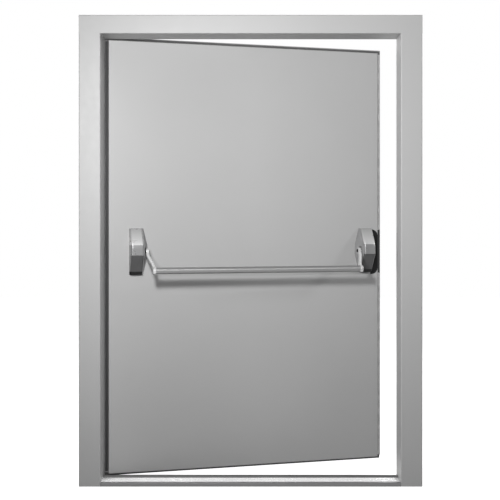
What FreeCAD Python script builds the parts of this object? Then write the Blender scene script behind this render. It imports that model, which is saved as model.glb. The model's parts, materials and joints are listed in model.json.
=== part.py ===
import FreeCAD, Part
import os
import Sketcher

# Steel utility door, in millimetres: a folded steel frame, a hinged flush leaf and a push-bar exit device.
# +Z is up, +X points to the lock jamb and +Y points away from the push side. The origin is on the floor, in the
# middle of the opening, in the plane that the leaf's push face takes when the door is shut.
# Leaf pieces are drawn about the hinge axis with the door shut, and then turned about it by open_angle.

SIZES = [
    ("overall_width", 1530, "frame, outside to outside"),
    ("overall_height", 2100, "floor to the top of the frame"),
    ("jamb_face", 96, "face width of each jamb"),
    ("head_face", 83, "face height of the head"),
    ("frame_depth", 146, "push face to back face of the frame"),
    ("leaf_setback", 112, "push face of the frame to push face of the shut leaf"),
    ("frame_gauge", 2, "frame sheet"),
    ("frame_bend", 5, "outside bend radius of the frame"),
    ("return_lip", 20, "lips folded back to the wall"),
    ("threshold_rise", 18, "height of the threshold"),
    ("threshold_wall", 3, "wall of the threshold's hollow section"),
    ("stop_rise", 12, "height of the rubber stop on the threshold"),
    ("stop_depth", 22, "depth of the rubber stop"),
    ("stop_clearance", 6, "rubber stop to the shut leaf"),
    ("hinge_gap", 10, "gap between the hinge jamb and the leaf"),
    ("leaf_gap", 6, "gap between the leaf and the lock jamb, and the leaf and the head"),
    ("leaf_floor_gap", 8, "gap between threshold and leaf"),
    ("leaf_thickness", 54, "push face to pull face of the leaf"),
    ("leaf_gauge", 1.5, "leaf sheet"),
    ("leaf_bend", 3.5, "outside bend radius of the leaf"),
    ("flange_lap", 22, "how far the pull-side flange laps over each jamb"),
    ("head_lap", 14, "how far the pull-side flange laps over the head"),
    ("flange_depth", 15, "thickness of the lapping flange"),
    ("flange_return", 12, "inner return of the flange, behind the leaf's edge"),
    ("open_angle", 15.5, "how far the door stands ajar, degrees"),
    ("hinge_inset", 36, "hinge axis outside the opening's edge"),
    ("hinge_standoff", 13, "hinge axis behind the frame's back face"),
    ("barrel_diameter", 22, "hinge barrel"),
    ("barrel_length", 60, "length of each hinge half"),
    ("barrel_gap", 1, "gap between the two halves"),
    ("pin_diameter", 12, "hinge pin"),
    ("pin_clearance", 0.05, "running clearance at the pins, radial"),
    ("lug_width", 12, "welding lug of the hinge"),
    ("hinge_foot_margin", 224, "foot of the leaf to the low hinge"),
    ("hinge_top_margin", 120, "high hinge to the top of the leaf"),
    ("seal_width", 10, "frame seal"),
    ("seal_height", 4.4, "frame seal, from the frame's back face"),
    ("seal_inset", 3, "frame seal to the opening's edge"),
    ("strap_height", 50, "wall strap"),
    ("strap_gauge", 3, "wall strap"),
    ("strap_hole", 10.5, "hole in the wall strap"),
    ("strap_pitch", 60, "between the two holes of a strap"),
    ("low_strap", 300, "floor to the middle of the low strap"),
    ("high_strap_drop", 217, "underside of the head to the middle of the high strap"),
    ("strike_width", 24, "strike plate and forend"),
    ("strike_height", 170, "strike plate"),
    ("forend_height", 235, "lock forend"),
    ("forend_gauge", 2, "lock forend and strike plate"),
    ("fitting_gap", 0.3, "joint round inlaid plates"),
    ("latch_depth", 18, "middle of the latch behind the leaf's push face"),
    ("latch_thickness", 11, "latch bolt"),
    ("latch_height", 34, "latch bolt"),
    ("latch_length", 40, "latch bolt"),
    ("case_hinge_offset", 93, "hinge edge of the leaf to the hinge-side case"),
    ("case_lock_offset", 36, "lock edge of the leaf to the lock-side case"),
    ("case_width", 59, "cover of an exit-device case"),
    ("case_drop", 106, "lever pivot down to the underside of the case"),
    ("case_height", 215, "height of the cases"),
    ("case_top_depth", 16, "case at its top edge, out from the leaf"),
    ("case_brow_depth", 62, "case at its upper crease, out from the leaf"),
    ("case_belly_depth", 64, "case at its lower crease, out from the leaf"),
    ("case_toe_depth", 22, "case at the foot of its lower face"),
    ("case_foot_depth", 15, "case at its underside"),
    ("brow_drop", 77, "top of the case to the upper crease"),
    ("belly_drop", 125, "top of the case to the lower crease"),
    ("toe_rise", 17, "underside of the case to the foot of its lower face"),
    ("case_chamfer", 6, "bevel down both sides of the case"),
    ("case_wall", 5, "wall of the cast cover and toe"),
    ("cheek_edge", 2.5, "front edge of the sloping lever cheek, across"),
    ("cheek_slope", 0.42, "how far the lever cheek widens for each unit towards the leaf"),
    ("cheek_inset", 7, "lever cheek behind the front of the case"),
    ("cheek_floor", 7, "case to the floor of the lever's recess in the cheek"),
    ("sweep_room", 5, "recess round the lever hub"),
    ("sweep_radius", 28, "recess for the swinging lever"),
    ("sweep_out", 16, "middle of that recess, out from the pivot"),
    ("sweep_drop", 28, "middle of that recess, below the pivot"),
    ("pivot_depth", 38, "lever pivot, out from the leaf"),
    ("pivot_height", 1041, "lever pivot above the floor"),
    ("pivot_diameter", 12, "lever pivot pin"),
    ("hub_offset", 12, "case to the lever hub"),
    ("hub_gap", 2, "head of the pivot pin beyond the hub"),
    ("hub_length", 14, "lever hub"),
    ("hub_diameter", 32, "lever hub"),
    ("lever_offset", 31, "case to the lever's bar end"),
    ("socket_length", 14, "lever's bar end"),
    ("socket_diameter", 34, "lever's bar end"),
    ("lever_depth", 22, "lever, level section from front to back"),
    ("lever_thickness", 13, "lever, level section across"),
    ("bar_depth", 112, "middle of the push bar, out from the leaf"),
    ("bar_drop", 84, "lever pivot down to the middle of the push bar"),
    ("bar_diameter", 30, "push bar"),
    ("bar_wall", 2, "push bar tube"),
    ("spigot_length", 25, "lever spigot inside the push bar"),
]

doc = FreeCAD.newDocument("steel_utility_door")
sheet = doc.addObject("Spreadsheet::Sheet", "Sizes")


class Size:
    """A size worked out from the sheet: its number and the same sum as an expression on the sheet's cells."""

    def __init__(self, value, text):
        self.value = value
        self.text = text

    def __add__(self, other):
        other = as_size(other)
        return Size(self.value + other.value, f"({self.text} + {other.text})")

    def __radd__(self, other):
        return as_size(other) + self

    def __sub__(self, other):
        other = as_size(other)
        return Size(self.value - other.value, f"({self.text} - {other.text})")

    def __rsub__(self, other):
        return as_size(other) - self

    def __mul__(self, factor):
        return Size(self.value * factor, f"({self.text} * ({factor}))")

    __rmul__ = __mul__

    def __truediv__(self, divisor):
        return Size(self.value / divisor, f"({self.text} / {divisor})")

    def __neg__(self):
        return self * -1


def as_size(number):
    """The number itself as a Size, unless it is one."""
    return number if isinstance(number, Size) else Size(float(number), f"({float(number)})")


def fill_sheet():
    """Put every driving size in the sheet under its own name."""
    for row, (name, value, note) in enumerate(SIZES, start=1):
        sheet.set(f"A{row}", name)
        sheet.set(f"B{row}", str(value))
        sheet.set(f"C{row}", note)
        sheet.setAlias(f"B{row}", name)
    doc.recompute()


def size(name):
    """The Size of a sheet cell, by its name."""
    return Size(float(sheet.get(name)), f"Sizes.{name}")


def bind(thing, **bindings):
    """Bind properties to Sizes; a double underscore in a name stands for a dot."""
    for name, value in bindings.items():
        thing.setExpression(name.replace("__", "."), as_size(value).text)


NORMALS = {"XY": FreeCAD.Vector(0, 0, 1), "YZ": FreeCAD.Vector(1, 0, 0)}


def draw(sketch, corners):
    """Draw the closed outline through the corners, each corner held by sizes from the sketch's origin."""
    corners = [(as_size(across), as_size(up)) for across, up in corners]
    points = [FreeCAD.Vector(across.value, up.value, 0) for across, up in corners]
    count = len(points)
    for index in range(count):
        sketch.addGeometry(Part.LineSegment(points[index], points[(index + 1) % count]))
    for index in range(count):
        sketch.addConstraint(Sketcher.Constraint("Coincident", index, 2, (index + 1) % count, 1))
    for index, corner in enumerate(corners):
        for kind, axis, place in zip(("DistanceX", "DistanceY"), (-2, -1), corner):
            if abs(place.value) < 1e-9:
                sketch.addConstraint(Sketcher.Constraint("PointOnObject", index, 1, axis))
                continue
            number = sketch.addConstraint(Sketcher.Constraint(kind, -1, 1, index, 1, place.value))
            sketch.setExpression(f"Constraints[{number}]", place.text)


def extrusion(name, plane, corners, start, length):
    """A body: the closed outline through the corners, on the plane moved to start, padded by length."""
    body = doc.addObject("PartDesign::Body", name)
    sketch = body.newObject("Sketcher::SketchObject", name + "_outline")
    support = [item for item in body.Origin.OriginFeatures if item.Role == plane + "_Plane"]
    sketch.AttachmentSupport = [(support[0], "")]
    sketch.MapMode = "FlatFace"
    draw(sketch, corners)
    bind(sketch, AttachmentOffset__Base__z=start)
    pad = body.newObject("PartDesign::Pad", name + "_pad")
    pad.Profile = sketch
    bind(pad, Length=length)
    sketch.Visibility = False
    doc.recompute()
    return body


def loft(name, sections, ruled):
    """A solid through closed sections."""
    solid = doc.addObject("Part::Loft", name)
    solid.Sections = sections
    solid.Solid = True
    solid.Ruled = ruled
    return solid


def lengthwise_edges(body, plane, corners):
    """Names of the extrusion's edges that run from the given corners of its outline."""
    names = []
    normal = NORMALS[plane]
    for number, edge in enumerate(body.Tip.Shape.Edges, start=1):
        if len(edge.Vertexes) < 2:
            continue
        run = edge.Vertexes[-1].Point - edge.Vertexes[0].Point
        if run.Length < 1e-6 or abs(abs(run.normalize().dot(normal)) - 1) > 1e-6:
            continue
        foot = edge.Vertexes[0].Point
        flat = (foot.x, foot.y) if plane == "XY" else (foot.y, foot.z)
        for across, up in corners:
            if abs(flat[0] - as_size(across).value) < 1e-3 and abs(flat[1] - as_size(up).value) < 1e-3:
                names.append(f"Edge{number}")
    return names


def edges_in(body, test):
    """Names of the body's edges whose every end and middle point passes the test."""
    names = []
    for number, edge in enumerate(body.Tip.Shape.Edges, start=1):
        middle = edge.valueAt((edge.FirstParameter + edge.LastParameter) / 2)
        if all(test(point) for point in [middle] + [vertex.Point for vertex in edge.Vertexes]):
            names.append(f"Edge{number}")
    return names


def soften(body, kind, names, amount):
    """Round (Fillet) or bevel (Chamfer) the named edges of the body's last feature."""
    base = body.Tip
    feature = body.newObject("PartDesign::" + kind, f"{body.Name}_{kind.lower()}_{len(body.Group)}")
    feature.Base = (base, names)
    if kind == "Fillet":
        bind(feature, Radius=amount)
    else:
        bind(feature, Size=amount)
    doc.recompute()
    return body


def box(name, low, high):
    """A box from its low corner to its high corner."""
    block = doc.addObject("Part::Box", name)
    low = [as_size(place) for place in low]
    high = [as_size(place) for place in high]
    bind(block, Placement__Base__x=low[0], Placement__Base__y=low[1], Placement__Base__z=low[2])
    bind(block, Length=high[0] - low[0], Width=high[1] - low[1], Height=high[2] - low[2])
    return block


def rod(name, along, radius, start, length):
    """A cylinder along X or Z from its start point."""
    cylinder = doc.addObject("Part::Cylinder", name)
    if along == "X":
        cylinder.Placement = FreeCAD.Placement(FreeCAD.Vector(), FreeCAD.Rotation(FreeCAD.Vector(0, 1, 0), 90))
    bind(cylinder, Placement__Base__x=start[0], Placement__Base__y=start[1], Placement__Base__z=start[2])
    bind(cylinder, Radius=radius, Height=length)
    return cylinder


def level_rod(name, radius, ends, depth, height):
    """A cylinder along X between two X places, whichever is the lower."""
    first, second = sorted((as_size(end) for end in ends), key=lambda end: end.value)
    return rod(name, "X", radius, (first, depth, height), second - first)


def fuse(name, pieces):
    """Several pieces as one."""
    joined = doc.addObject("Part::MultiFuse", name)
    joined.Shapes = pieces
    joined.Refine = True
    return joined


def cut(name, base, tools):
    """A piece with the tools taken out of it."""
    result = doc.addObject("Part::Cut", name)
    result.Base = base
    result.Tool = tools[0] if len(tools) == 1 else fuse(name + "_tools", tools)
    return result


def group(name, pieces):
    """Like pieces that stand apart, as one object."""
    together = doc.addObject("Part::Compound", name)
    together.Links = pieces
    return together


fill_sheet()

half_width = size("overall_width") / 2
opening = half_width - size("jamb_face")
frame_front = -size("leaf_setback")
frame_back = size("frame_depth") - size("leaf_setback")
frame_top = size("overall_height")
soffit = frame_top - size("head_face")
gauge = size("frame_gauge")
lip = size("return_lip")
axis_x = -(opening + size("hinge_inset"))
axis_y = frame_back + size("hinge_standoff")

leaf_edge = size("hinge_inset") + size("hinge_gap")
leaf_width = opening * 2 - size("hinge_gap") - size("leaf_gap")
lock_edge = leaf_edge + leaf_width
hinge_wing = size("hinge_inset") - size("flange_lap")
lock_wing = lock_edge + size("leaf_gap") + size("flange_lap")
leaf_near = -axis_y
leaf_far = size("leaf_thickness") - axis_y
flange_near = leaf_far - size("flange_depth")
leaf_foot = size("threshold_rise") + size("leaf_floor_gap")
leaf_top = soffit - size("leaf_gap")
flange_top = soffit + size("head_lap")
skin = size("leaf_gauge")
hinge_tall = size("barrel_length") * 2 + size("barrel_gap")
low_hinge = leaf_foot + size("hinge_foot_margin")
high_hinge = leaf_top - size("hinge_top_margin") - hinge_tall
hinge_feet = {"low": low_hinge, "middle": (low_hinge + high_hinge) / 2, "high": high_hinge}
high_strap = soffit - size("high_strap_drop")
strap_heights = {"low": size("low_strap"), "middle": (size("low_strap") + high_strap) / 2, "high": high_strap}
bar_z = size("pivot_height") - size("bar_drop")

nodes = []


def keep(thing, label):
    """Note a finished piece under its node name."""
    thing.Label = label
    nodes.append(thing)
    return thing


def on_leaf(thing, label):
    """Note a finished leaf piece, set on the hinge axis and turned ajar with the leaf."""
    bind(thing, Placement__Base__x=axis_x, Placement__Base__y=axis_y)
    bind(thing, Placement__Rotation__Angle=size("open_angle"))
    return keep(thing, label)


def folded_channel(face, inner, outer):
    """Corners of a lipped channel, as (face, depth) pairs, with its outside bends and its inside bends.

    The face runs from inner (the opening's edge) to outer; face turns a place on it into sketch terms."""
    step = gauge if outer.value > inner.value else -gauge
    bends_out = [(outer, frame_front), (inner, frame_front), (inner, frame_back), (outer, frame_back)]
    bends_in = [
        (outer - step, frame_back - gauge),
        (inner + step, frame_back - gauge),
        (inner + step, frame_front + gauge),
        (outer - step, frame_front + gauge),
    ]
    ring = [(outer, frame_front + lip)] + bends_out + [(outer, frame_back - lip)]
    ring += [(outer - step, frame_back - lip)] + bends_in + [(outer - step, frame_front + lip)]
    return [face(*place) for place in ring], [face(*p) for p in bends_out], [face(*p) for p in bends_in]


def frame_member(name, plane, face, inner, outer, start, length):
    """A folded jamb or head with rounded bends."""
    corners, bends_out, bends_in = folded_channel(face, inner, outer)
    body = extrusion(name, plane, corners, start, length)
    soften(body, "Fillet", lengthwise_edges(body, plane, bends_out), size("frame_bend"))
    soften(body, "Fillet", lengthwise_edges(body, plane, bends_in), size("frame_bend") - gauge)
    return body


def build_frame():
    """Jambs, head, threshold with its rubber stop, seals, strike plate and wall straps."""
    floor = as_size(0)
    side_face = lambda across, depth: (across, depth)
    head_face = lambda height, depth: (depth, height)
    hinge_jamb = frame_member("hinge_jamb_fold", "XY", side_face, -opening, -half_width, floor, soffit)
    keep(hinge_jamb, "hinge_jamb")
    lock_fold = frame_member("lock_jamb_fold", "XY", side_face, opening, half_width, floor, soffit)
    latch_y = size("latch_depth")
    reach = size("strike_width") / 2
    tall = size("strike_height") / 2
    play = size("fitting_gap")
    height = size("pivot_height")
    recess = box(
        "strike_recess",
        (opening - gauge, latch_y - reach - play, height - tall - play),
        (opening + gauge * 2, latch_y + reach + play, height + tall + play),
    )
    keep(cut("lock_jamb_cut", lock_fold, [recess]), "lock_jamb")
    plate = box(
        "strike_blank",
        (opening, latch_y - reach, height - tall),
        (opening + size("forend_gauge"), latch_y + reach, height + tall),
    )
    keyhole = box(
        "strike_slot",
        (opening - gauge, latch_y - size("latch_thickness") / 2 - 2, height - size("latch_height") / 2 - 4),
        (opening + gauge * 3, latch_y + size("latch_thickness") / 2 + 2, height + size("latch_height") / 2 + 4),
    )
    keep(cut("strike_cut", plate, [keyhole]), "strike_plate")
    head = frame_member("head_fold", "YZ", head_face, soffit, frame_top, -half_width, half_width * 2)
    keep(head, "frame_head")
    build_threshold()
    build_seals()
    for label, sign in (("hinge_jamb_straps", -1), ("lock_jamb_straps", 1)):
        straps = [wall_strap(f"{label}_{level}", sign, height) for level, height in strap_heights.items()]
        keep(group(label + "_set", straps), label)


def build_threshold():
    """The hollow threshold between the jambs, and the rubber stop that stands on it."""
    rise = size("threshold_rise")
    wall = size("threshold_wall")
    outline = [(frame_front, 0), (frame_front, rise), (frame_back, rise), (frame_back, 0)]
    bar = extrusion("threshold_bar", "YZ", outline, -opening, opening * 2)
    soften(bar, "Fillet", lengthwise_edges(bar, "YZ", [(frame_front, rise)]), wall)
    chambers = []
    count = 3
    pitch = (size("frame_depth") - wall) / count
    for number in range(count):
        start = frame_front + wall + pitch * number
        low = (-opening - wall, start, wall)
        high = (opening + wall, start + pitch - wall, rise - wall)
        chambers.append(box(f"threshold_chamber_{number + 1}", low, high))
    keep(cut("threshold_hollow", bar, chambers), "threshold")
    back = -size("stop_clearance")
    front = back - size("stop_depth")
    crest = rise + size("stop_rise")
    outline = [(front, rise), (front, crest), (back, crest), (back, rise)]
    stop = extrusion("stop_strip", "YZ", outline, -opening, opening * 2)
    soften(stop, "Fillet", lengthwise_edges(stop, "YZ", [(front, crest), (back, crest)]), size("stop_rise") / 4)
    keep(stop, "threshold_stop")


def build_seals():
    """The three seal strips on the back of the frame, where the leaf's flange closes."""
    near_edge = opening + size("seal_inset")
    far_edge = near_edge + size("seal_width")
    crest = frame_back + size("seal_height")
    crown = soffit + size("seal_inset")
    rounding = size("seal_height") / 3
    for label, sign in (("hinge_jamb_seal", -1), ("lock_jamb_seal", 1)):
        outline = [
            (near_edge * sign, frame_back),
            (near_edge * sign, crest),
            (far_edge * sign, crest),
            (far_edge * sign, frame_back),
        ]
        seal = extrusion(label + "_strip", "XY", outline, leaf_foot, crown - leaf_foot)
        soften(seal, "Fillet", lengthwise_edges(seal, "XY", outline[1:3]), rounding)
        keep(seal, label)
    outline = [
        (frame_back, crown),
        (crest, crown),
        (crest, crown + size("seal_width")),
        (frame_back, crown + size("seal_width")),
    ]
    seal = extrusion("head_seal_strip", "YZ", outline, -far_edge, far_edge * 2)
    soften(seal, "Fillet", lengthwise_edges(seal, "YZ", outline[1:3]), rounding)
    keep(seal, "head_seal")


def wall_strap(name, sign, height):
    """A strap welded behind the lips of a jamb, with two holes for wall bolts."""
    outer = half_width - gauge
    inner = outer - size("strap_gauge")
    sides = (outer, inner) if sign < 0 else (inner, outer)
    tall = size("strap_height") / 2
    low = (sides[0] * sign, frame_front + size("frame_bend"), height - tall)
    high = (sides[1] * sign, frame_back - size("frame_bend"), height + tall)
    plate = box(name + "_plate", low, high)
    middle = (frame_front + frame_back) / 2
    holes = []
    for index, side in enumerate((-1, 1)):
        depth = middle + size("strap_pitch") / 2 * side
        start = (sides[0] * sign - size("strap_gauge"), depth, height)
        through = size("strap_gauge") * 3
        holes.append(rod(f"{name}_hole_{index + 1}", "X", size("strap_hole") / 2, start, through))
    return cut(name, plate, holes)


def build_hinges():
    """Three lift-off barrel hinges: the lower half and its pin on the frame, the upper half on the leaf."""
    radius = size("barrel_diameter") / 2
    pin = size("pin_diameter") / 2
    bore = pin + size("pin_clearance")
    tall = size("barrel_length")
    inset = tall / 12
    for level, foot in hinge_feet.items():
        top = foot + tall + size("barrel_gap")
        barrel = rod(f"{level}_frame_barrel", "Z", radius, (axis_x, axis_y, foot), tall)
        low = (axis_x - size("lug_width") / 2, frame_back, foot + inset)
        high = (axis_x + size("lug_width") / 2, axis_y, foot + tall - inset)
        lug = box(f"{level}_frame_lug", low, high)
        half = fuse(f"{level}_frame_weld", [barrel, lug])
        hole = rod(f"{level}_frame_bore", "Z", bore, (axis_x, axis_y, foot + inset), tall)
        keep(cut(f"{level}_frame_knuckle", half, [hole]), f"{level}_hinge_frame_half")
        shank = rod(f"{level}_pin_shank", "Z", pin, (axis_x, axis_y, foot + inset), tall * 2 - inset * 2)
        keep(shank, f"{level}_hinge_pin")
        barrel = rod(f"{level}_leaf_barrel", "Z", radius, (0, 0, top), tall)
        low = (0, flange_near + skin, top + inset)
        high = (hinge_wing, leaf_far - skin, top + tall - inset)
        lug = box(f"{level}_leaf_lug", low, high)
        half = fuse(f"{level}_leaf_weld", [barrel, lug])
        hole = rod(f"{level}_leaf_bore", "Z", bore, (0, 0, top - inset), tall)
        on_leaf(cut(f"{level}_leaf_knuckle", half, [hole]), f"{level}_hinge_leaf_half")


def build_leaf():
    """The push-side pan, the pull-side pan with its lapping flange, and the lock's forend and latch."""
    bend = size("leaf_bend")
    outline = [
        (leaf_edge, leaf_near),
        (lock_edge, leaf_near),
        (lock_edge, flange_near),
        (leaf_edge, flange_near),
    ]
    pan = extrusion("push_pan", "XY", outline, leaf_foot, leaf_top - leaf_foot)
    soften(pan, "Fillet", edges_in(pan, lambda point: abs(point.y - leaf_near.value) < 1e-3), bend)
    low = (leaf_edge + skin, leaf_near + skin, leaf_foot + skin)
    high = (lock_edge - skin, flange_near + bend, leaf_top - skin)
    hollow = box("push_pan_hollow", low, high)
    latch_y = leaf_near + size("latch_depth")
    reach = size("strike_width") / 2
    tall = size("forend_height") / 2
    play = size("fitting_gap")
    height = size("pivot_height")
    low = (lock_edge - bend * 2, latch_y - reach - play, height - tall - play)
    high = (lock_edge + bend, latch_y + reach + play, height + tall + play)
    recess = box("forend_recess", low, high)
    on_leaf(cut("push_pan_cut", pan, [hollow, recess]), "leaf_push_sheet")

    outline = [
        (hinge_wing, flange_near),
        (lock_wing, flange_near),
        (lock_wing, leaf_far),
        (hinge_wing, leaf_far),
    ]
    pan = extrusion("pull_pan", "XY", outline, leaf_foot, flange_top - leaf_foot)
    soften(pan, "Fillet", edges_in(pan, lambda point: abs(point.y - leaf_far.value) < 1e-3), bend)
    low = (hinge_wing + skin, flange_near + skin, leaf_foot + skin)
    high = (lock_wing - skin, leaf_far - skin, flange_top - skin)
    hollow = box("pull_pan_hollow", low, high)
    inner = size("flange_return")
    low = (leaf_edge + inner, flange_near - bend, leaf_foot + inner)
    high = (lock_edge - inner, flange_near + skin * 2, leaf_top - inner)
    mouth = box("pull_pan_mouth", low, high)
    on_leaf(cut("pull_pan_cut", pan, [hollow, mouth]), "leaf_pull_sheet")

    low = (lock_edge - size("forend_gauge"), latch_y - reach, height - tall)
    high = (lock_edge, latch_y + reach, height + tall)
    plate = box("forend_blank", low, high)
    bolt_reach = size("latch_thickness") / 2
    bolt_tall = size("latch_height") / 2
    low = (lock_edge - bend * 2, latch_y - bolt_reach - play, height - bolt_tall - play)
    high = (lock_edge + bend, latch_y + bolt_reach + play, height + bolt_tall + play)
    slot = box("forend_slot", low, high)
    on_leaf(cut("forend_cut", plate, [slot]), "lock_forend")
    tip = lock_edge
    root = lock_edge - size("latch_length")
    outline = [
        (root, latch_y - bolt_reach),
        (tip, latch_y - bolt_reach),
        (tip - size("latch_thickness") / 2, latch_y + bolt_reach),
        (root, latch_y + bolt_reach),
    ]
    on_leaf(extrusion("latch_blank", "XY", outline, height - bolt_tall, bolt_tall * 2), "latch_bolt")


def case_outline(places):
    """Corners of a case's side view from (out from the leaf, height) pairs."""
    return [(leaf_near - as_size(out), height) for out, height in places]


def case_part(name, places, hollow, start):
    """A cast shell of the case: bevels down both sides of its front, and a hollow that is open to the leaf."""
    width = size("case_width")
    wall = size("case_wall")
    block = extrusion(name, "YZ", case_outline(places), start, width)
    ends = (start.value, start.value + width.value)
    shallow = leaf_near.value - size("case_top_depth").value + 1e-3

    def on_front(point):
        at_end = min(abs(point.x - ends[0]), abs(point.x - ends[1])) < 1e-3
        return at_end and point.y < shallow

    def slanting(names):
        kept = []
        for text in names:
            edge = block.Tip.Shape.Edges[int(text[4:]) - 1]
            heights = [vertex.Point.z for vertex in edge.Vertexes]
            if max(heights) - min(heights) > 1e-3:
                kept.append(text)
        return kept

    soften(block, "Chamfer", slanting(edges_in(block, on_front)), size("case_chamfer"))
    core = extrusion(name + "_core", "YZ", case_outline(hollow), start + wall, width - wall * 2)
    return cut(name + "_shell", block, [core])


def lever_cheek(side, inner_face, inward, rows):
    """The sloping flank between the case's front and the leaf, recessed round the lever's hub and swing."""
    pivot_y = leaf_near - size("pivot_depth")
    pivot_z = size("pivot_height")
    edge = size("cheek_edge")
    sections = []
    for number, (out, height) in enumerate(rows):
        front = out - size("cheek_inset")
        flare = edge + Size(front.value * size("cheek_slope").value, f"({front.text} * Sizes.cheek_slope)")
        ring = [(as_size(0), as_size(0)), (flare, as_size(0)), (edge, front), (as_size(0), front)]
        sketch = doc.addObject("Sketcher::SketchObject", f"{side}_cheek_section_{number + 1}")
        draw(sketch, [(inner_face + across * inward, leaf_near - depth) for across, depth in ring])
        bind(sketch, Placement__Base__z=height)
        sketch.Visibility = False
        sections.append(sketch)
    flank = loft(f"{side}_cheek_flank", sections, True)
    floor = inner_face + size("cheek_floor") * inward
    clear = inner_face + (size("cheek_floor") + size("case_belly_depth")) * inward
    hub_room = level_rod(
        f"{side}_hub_recess", size("hub_diameter") / 2 + size("sweep_room"), (floor, clear), pivot_y, pivot_z)
    swing_room = level_rod(
        f"{side}_swing_recess", size("sweep_radius"), (floor, clear),
        pivot_y - size("sweep_out"), pivot_z - size("sweep_drop"))
    bore = level_rod(f"{side}_cheek_bore", size("pivot_diameter") / 2, (inner_face, clear), pivot_y, pivot_z)
    return cut(f"{side}_cheek_cut", flank, [hub_room, swing_room, bore])


def build_case(side, start, inner_face, inward):
    """One end of the exit device: cover, toe, lever cheek and pivot pin. inward is +1 or -1 along the leaf."""
    bottom = size("pivot_height") - size("case_drop")
    top = bottom + size("case_height")
    brow = top - size("brow_drop")
    belly = top - size("belly_drop")
    instep = bottom + size("toe_rise")
    wall = size("case_wall")
    top_row = (size("case_top_depth"), top)
    brow_row = (size("case_brow_depth"), brow)
    belly_row = (size("case_belly_depth"), belly)
    toe_row = (size("case_toe_depth"), instep)
    foot_row = (size("case_foot_depth"), bottom)
    places = [(0, top), top_row, brow_row, belly_row, (0, belly)]
    hollow = [
        (-wall, top - wall),
        (size("case_top_depth") - wall, top - wall),
        (size("case_brow_depth") - wall, brow),
        (size("case_belly_depth") - wall, belly + wall),
        (-wall, belly + wall),
    ]
    on_leaf(case_part(f"{side}_cover_block", places, hollow, start), f"{side}_case_cover")
    places = [(0, belly), belly_row, toe_row, foot_row, (0, bottom)]
    hollow = [
        (-wall, belly - wall),
        (size("case_belly_depth") - wall * 2, belly - wall),
        (size("case_toe_depth") - wall * 2, instep),
        (-wall, instep),
    ]
    on_leaf(case_part(f"{side}_toe_block", places, hollow, start), f"{side}_case_toe")
    rows = [top_row, brow_row, belly_row, toe_row, foot_row]
    on_leaf(lever_cheek(side, inner_face, inward, rows), f"{side}_lever_cheek")
    pivot_y = leaf_near - size("pivot_depth")
    pivot_z = size("pivot_height")
    pin = size("pivot_diameter") / 2
    hub_end = inner_face + (size("hub_offset") + size("hub_length")) * inward
    pin_end = hub_end + size("hub_gap") * inward
    shank = level_rod(f"{side}_pivot_shank", pin, (inner_face, pin_end), pivot_y, pivot_z)
    head_start = pin_end - size("hub_gap") * 0.8 * inward
    head = level_rod(f"{side}_pivot_head", pin * 1.4, (head_start, pin_end), pivot_y, pivot_z)
    on_leaf(fuse(f"{side}_pivot_weld", [shank, head]), f"{side}_pivot_pin")


def build_lever(side, inner_face, inward):
    """A lever arm: hub on the pivot, a joggled oval arm, the bar's end disc and the spigot inside the bar."""
    pivot_y = leaf_near - size("pivot_depth")
    pivot_z = size("pivot_height")
    bar_y = leaf_near - size("bar_depth")
    hub_start = inner_face + size("hub_offset") * inward
    hub_end = hub_start + size("hub_length") * inward
    disc_start = inner_face + size("lever_offset") * inward
    disc_end = disc_start + size("socket_length") * inward
    hub = level_rod(f"{side}_hub", size("hub_diameter") / 2, (hub_start, hub_end), pivot_y, pivot_z)
    disc = level_rod(f"{side}_disc", size("socket_diameter") / 2, (disc_start, disc_end), bar_y, bar_z)
    spigot_end = disc_end + size("spigot_length") * inward
    tube_bore = size("bar_diameter") / 2 - size("bar_wall")
    spigot_radius = tube_bore - size("pin_clearance")
    spigot = level_rod(f"{side}_spigot", spigot_radius, (disc_start, spigot_end), bar_y, bar_z)
    hub_middle = (hub_start + hub_end) / 2
    disc_middle = (disc_start + disc_end) / 2
    sections = []
    for number, (down, across) in enumerate(((0, 0), (0.28, 0.1), (0.72, 0.9), (1, 1))):
        oval = doc.addObject("Part::Ellipse", f"{side}_oval_{number + 1}")
        oval.Placement = FreeCAD.Placement(FreeCAD.Vector(), FreeCAD.Rotation(FreeCAD.Vector(0, 0, 1), 90))
        bind(oval, MajorRadius=size("lever_depth") / 2, MinorRadius=size("lever_thickness") / 2)
        bind(oval, Placement__Base__x=hub_middle + (disc_middle - hub_middle) * across)
        bind(oval, Placement__Base__y=pivot_y + (bar_y - pivot_y) * down)
        bind(oval, Placement__Base__z=pivot_z + (bar_z - pivot_z) * down)
        sections.append(oval)
    arm = loft(f"{side}_arm", sections, False)
    whole = fuse(f"{side}_lever_weld", [hub, arm, disc, spigot])
    bore_radius = size("pivot_diameter") / 2 + size("pin_clearance")
    bore = level_rod(f"{side}_hub_bore", bore_radius, (inner_face, disc_end), pivot_y, pivot_z)
    on_leaf(cut(f"{side}_lever_cut", whole, [bore]), f"{side}_lever_arm")
    return disc_end


def build_exit_device():
    """Both cases on the leaf, and the push bar between their lever arms."""
    width = size("case_width")
    hinge_start = leaf_edge + size("case_hinge_offset")
    lock_start = lock_edge - size("case_lock_offset") - width
    build_case("hinge_side", hinge_start, hinge_start + width, 1)
    build_case("lock_side", lock_start, lock_start, -1)
    bar_start = build_lever("hinge_side", hinge_start + width, 1)
    bar_end = build_lever("lock_side", lock_start, -1)
    bar_y = leaf_near - size("bar_depth")
    outside = level_rod("bar_outside", size("bar_diameter") / 2, (bar_start, bar_end), bar_y, bar_z)
    bore_radius = size("bar_diameter") / 2 - size("bar_wall")
    ends = (bar_start - size("bar_wall"), bar_end + size("bar_wall"))
    bore = level_rod("bar_bore", bore_radius, ends, bar_y, bar_z)
    on_leaf(cut("bar_tube", outside, [bore]), "push_bar_tube")


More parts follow.
